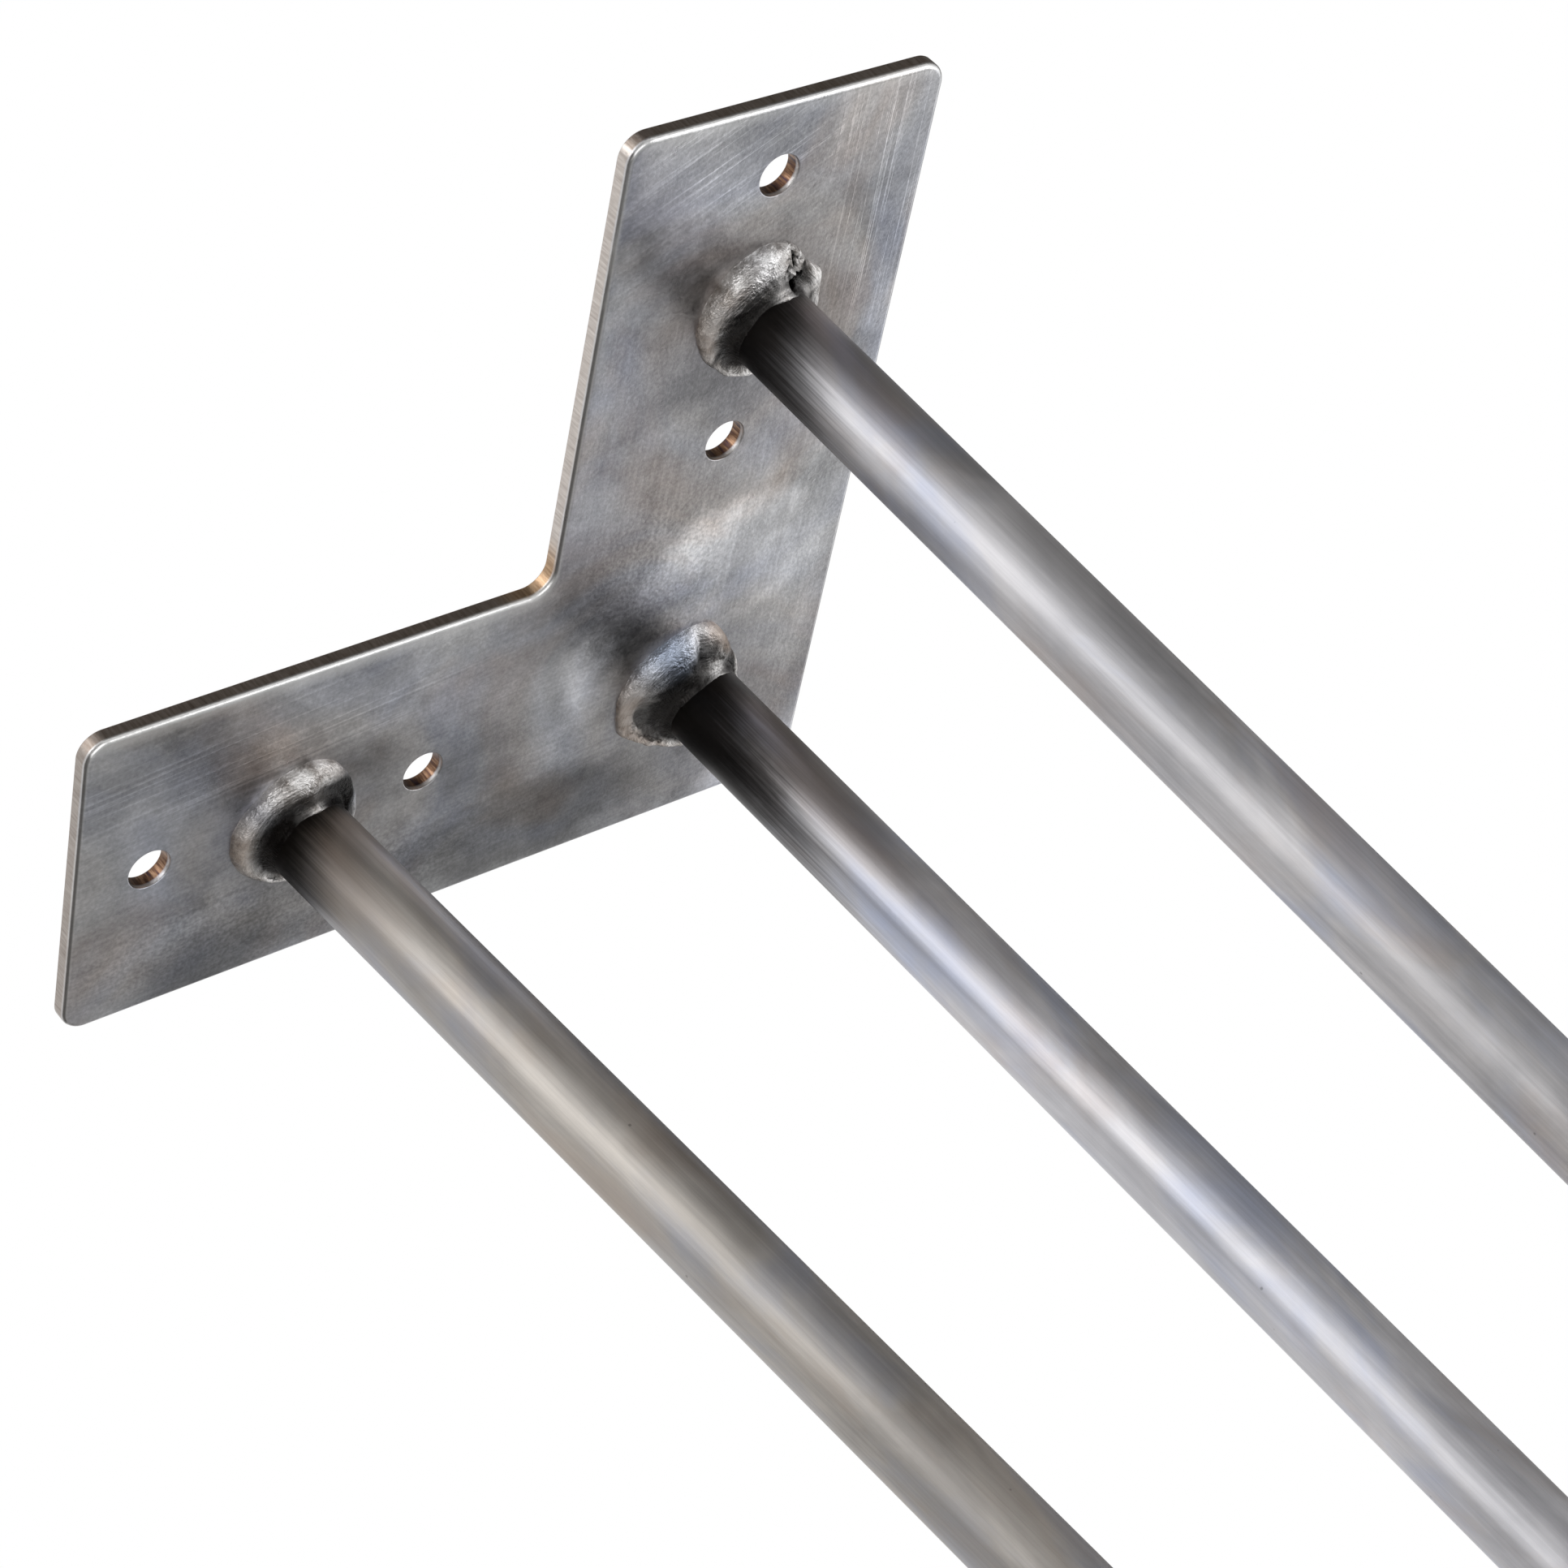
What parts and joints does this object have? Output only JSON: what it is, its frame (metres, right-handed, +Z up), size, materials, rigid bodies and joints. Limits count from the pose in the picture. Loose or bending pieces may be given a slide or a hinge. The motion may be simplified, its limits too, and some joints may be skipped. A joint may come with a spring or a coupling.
{
  "type": "hairpin table leg",
  "caption": "Three-rod hairpin table leg in raw steel: a bent rod and a straight rod welded under an L-shaped mounting plate with plain screw holes.",
  "frame": {"origin": "on the plate's top face, where the centrelines of its two arms cross", "axes": "+X along one arm, +Y along the other arm, +Z up out of the top face into the table top; the leg hangs towards -Z"},
  "size_m": [0.1528, 0.1528, 0.711],
  "materials": {
    "plate_steel": "raw ground plate, brushed in patches, heat-tinted round the welds",
    "rod_steel": "raw drawn bar with a fine lengthwise grain, dark near the welds",
    "weld_steel": "raw weld bead, wire-brushed bright on its crest and dark at its toe"
  },
  "bodies": {
    "root": {"mounting_plate": "plate_steel", "hairpin_rod": "rod_steel", "corner_rod": "rod_steel", "weld_x_arm": "weld_steel", "weld_y_arm": "weld_steel", "weld_corner": "weld_steel", "weld_foot": "weld_steel"}
  },
  "joints": []
}
